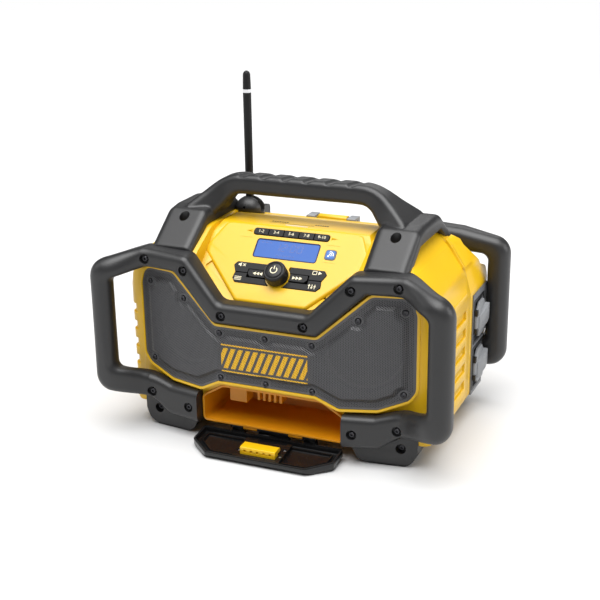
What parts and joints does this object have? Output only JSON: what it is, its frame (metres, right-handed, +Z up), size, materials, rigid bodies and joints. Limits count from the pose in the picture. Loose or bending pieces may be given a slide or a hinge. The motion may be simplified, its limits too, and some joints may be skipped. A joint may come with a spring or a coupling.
{
  "type": "jobsite radio",
  "caption": "Rugged portable radio with a carry handle, side roll bars, tilted control console, wide speaker grille, lidded storage bin and folding antenna.",
  "frame": {"origin": "on the ground under the middle of the whole at rest, storage door open", "axes": "+X to the right of someone facing the console, +Y to the back, +Z up"},
  "size_m": [0.442, 0.29, 0.416],
  "materials": {
    "housing_plastic": "moulded, slightly glossy yellow",
    "guard_plastic": "moulded, matte charcoal",
    "black_plastic": "moulded, matte black",
    "key_rubber": "soft black",
    "grille_sheet": "perforated sheet, grey paint",
    "steel": "turned or pressed",
    "blackened_steel": "blackened",
    "lens": "clear lens, blue light behind",
    "display_glass": "blue display",
    "pale_plastic": "moulded, light grey",
    "board": "green laminate",
    "cone": "pressed paper, black",
    "magnet": "ground ferrite",
    "chrome": "polished",
    "blue_rubber": "soft blue"
  },
  "bodies": {
    "radio": {"front_shell": "housing_plastic", "rear_shell": "housing_plastic", "control_panel": "housing_plastic", "storage_bin": "housing_plastic", "front_guard": "guard_plastic", "rear_guard_left": "guard_plastic", "rear_guard_right": "guard_plastic", "carry_handle": "guard_plastic", "speaker_grille": "grille_sheet", "lcd_window": "lens", "lcd_module": "display_glass", "keypad_mat": "key_rubber", "main_board": "board", "encoder_body": "steel", "speaker_frames": "blackened_steel", "speaker_cones": "cone", "speaker_magnets": "magnet", "antenna_base": "black_plastic", "antenna_pin": "steel", "front_feet": "guard_plastic", "rear_feet": "guard_plastic", "storage_hinge_pin": "steel", "battery_hinge_pin": "steel", "latch_bracket": "pale_plastic", "battery_rails": "black_plastic", "outlet_plate": "pale_plastic", "outlet_inserts": "black_plastic", "outlet_pins": "black_plastic", "usb_port": "steel", "aux_jack": "black_plastic", "power_supply": "steel", "mains_gland": "black_plastic", "guard_screws": "blackened_steel", "grille_screws": "blackened_steel"},
    "storage_door": {"storage_door": "black_plastic", "door_seal": "key_rubber", "door_screws": "steel"},
    "storage_latch": {"storage_latch": "housing_plastic"},
    "knob_plunger": {"encoder_plunger": "black_plastic"},
    "volume_knob": {"volume_knob": "key_rubber", "encoder_shaft": "steel"},
    "antenna": {"antenna_mast": "black_plastic", "antenna_ring": "chrome", "antenna_tip": "black_plastic"},
    "battery_door": {"battery_door": "guard_plastic"},
    "battery_latch": {"battery_latch": "housing_plastic"},
    "outlet_flap_upper": {"outlet_flap_upper": "pale_plastic"},
    "outlet_flap_lower": {"outlet_flap_lower": "pale_plastic"},
    "mute_key": {"mute_key": "key_rubber"},
    "menu_key": {"menu_key": "key_rubber"},
    "seek_back_key": {"seek_back_key": "key_rubber"},
    "seek_forward_key": {"seek_forward_key": "key_rubber"},
    "mode_key": {"mode_key": "key_rubber"},
    "tone_key": {"tone_key": "key_rubber"},
    "preset_key_1": {"preset_key_1": "key_rubber"},
    "preset_key_2": {"preset_key_2": "key_rubber"},
    "preset_key_3": {"preset_key_3": "key_rubber"},
    "preset_key_4": {"preset_key_4": "key_rubber"},
    "preset_key_5": {"preset_key_5": "key_rubber"},
    "wireless_key": {"wireless_key": "blue_rubber"}
  },
  "joints": [
    {"name": "storage_door_hinge", "type": "hinge", "parent": "radio", "child": "storage_door", "pos_m": [0, -0.08884, 0.0205], "axis": [1, 0, 0], "range_deg": [-96, 0]},
    {"name": "storage_latch_tip", "type": "hinge", "parent": "storage_door", "child": "storage_latch", "pos_m": [0, -0.12977, 0.00614], "axis": [-1, 0, 0], "range_deg": [0, 8], "stiffness_Nm_per_rad": 0.05, "springref_deg": -2.86},
    {"name": "knob_push", "type": "slide", "parent": "radio", "child": "knob_plunger", "axis": [0, 0.682, -0.7314], "range_m": [0, 0.0006], "stiffness_N_per_m": 900, "springref_m": -0.001},
    {"name": "knob_turn", "type": "hinge", "parent": "knob_plunger", "child": "volume_knob", "pos_m": [0, -0.06706, 0.20347], "axis": [0, -0.682, 0.7314], "continuous": true},
    {"name": "antenna_fold", "type": "hinge", "parent": "radio", "child": "antenna", "pos_m": [-0.091, 0.05425, 0.251], "axis": [0, 1, 0], "range_deg": [0, 90]},
    {"name": "battery_door_hinge", "type": "hinge", "parent": "radio", "child": "battery_door", "pos_m": [0, 0.13725, 0.049], "axis": [-1, 0, 0], "range_deg": [0, 95]},
    {"name": "battery_latch_hinge", "type": "hinge", "parent": "radio", "child": "battery_latch", "pos_m": [0, 0.10426, 0.229], "axis": [1, 0, 0], "range_deg": [0, 60], "stiffness_Nm_per_rad": 0.02, "springref_deg": -17.19},
    {"name": "outlet_flap_upper_hinge", "type": "hinge", "parent": "radio", "child": "outlet_flap_upper", "pos_m": [0.195, 0.07455, 0.126], "axis": [0, 0, -1], "range_deg": [0, 90], "stiffness_Nm_per_rad": 0.008, "springref_deg": -17.19},
    {"name": "outlet_flap_lower_hinge", "type": "hinge", "parent": "radio", "child": "outlet_flap_lower", "pos_m": [0.195, 0.07455, 0.066], "axis": [0, 0, -1], "range_deg": [0, 90], "stiffness_Nm_per_rad": 0.008, "springref_deg": -17.19},
    {"name": "mute_key_press", "type": "slide", "parent": "radio", "child": "mute_key", "axis": [0, 0.682, -0.7314], "range_m": [0, 0.0012], "stiffness_N_per_m": 400, "springref_m": -0.0005},
    {"name": "menu_key_press", "type": "slide", "parent": "radio", "child": "menu_key", "axis": [0, 0.682, -0.7314], "range_m": [0, 0.0012], "stiffness_N_per_m": 400, "springref_m": -0.0005},
    {"name": "seek_back_key_press", "type": "slide", "parent": "radio", "child": "seek_back_key", "axis": [0, 0.682, -0.7314], "range_m": [0, 0.0012], "stiffness_N_per_m": 400, "springref_m": -0.0005},
    {"name": "seek_forward_key_press", "type": "slide", "parent": "radio", "child": "seek_forward_key", "axis": [0, 0.682, -0.7314], "range_m": [0, 0.0012], "stiffness_N_per_m": 400, "springref_m": -0.0005},
    {"name": "mode_key_press", "type": "slide", "parent": "radio", "child": "mode_key", "axis": [0, 0.682, -0.7314], "range_m": [0, 0.0012], "stiffness_N_per_m": 400, "springref_m": -0.0005},
    {"name": "tone_key_press", "type": "slide", "parent": "radio", "child": "tone_key", "axis": [0, 0.682, -0.7314], "range_m": [0, 0.0012], "stiffness_N_per_m": 400, "springref_m": -0.0005},
    {"name": "preset_key_1_press", "type": "slide", "parent": "radio", "child": "preset_key_1", "axis": [0, 0.682, -0.7314], "range_m": [0, 0.0012], "stiffness_N_per_m": 400, "springref_m": -0.0005},
    {"name": "preset_key_2_press", "type": "slide", "parent": "radio", "child": "preset_key_2", "axis": [0, 0.682, -0.7314], "range_m": [0, 0.0012], "stiffness_N_per_m": 400, "springref_m": -0.0005},
    {"name": "preset_key_3_press", "type": "slide", "parent": "radio", "child": "preset_key_3", "axis": [0, 0.682, -0.7314], "range_m": [0, 0.0012], "stiffness_N_per_m": 400, "springref_m": -0.0005},
    {"name": "preset_key_4_press", "type": "slide", "parent": "radio", "child": "preset_key_4", "axis": [0, 0.682, -0.7314], "range_m": [0, 0.0012], "stiffness_N_per_m": 400, "springref_m": -0.0005},
    {"name": "preset_key_5_press", "type": "slide", "parent": "radio", "child": "preset_key_5", "axis": [0, 0.682, -0.7314], "range_m": [0, 0.0012], "stiffness_N_per_m": 400, "springref_m": -0.0005},
    {"name": "wireless_key_press", "type": "slide", "parent": "radio", "child": "wireless_key", "axis": [0, 0.682, -0.7314], "range_m": [0, 0.0012], "stiffness_N_per_m": 400, "springref_m": -0.0005}
  ]
}
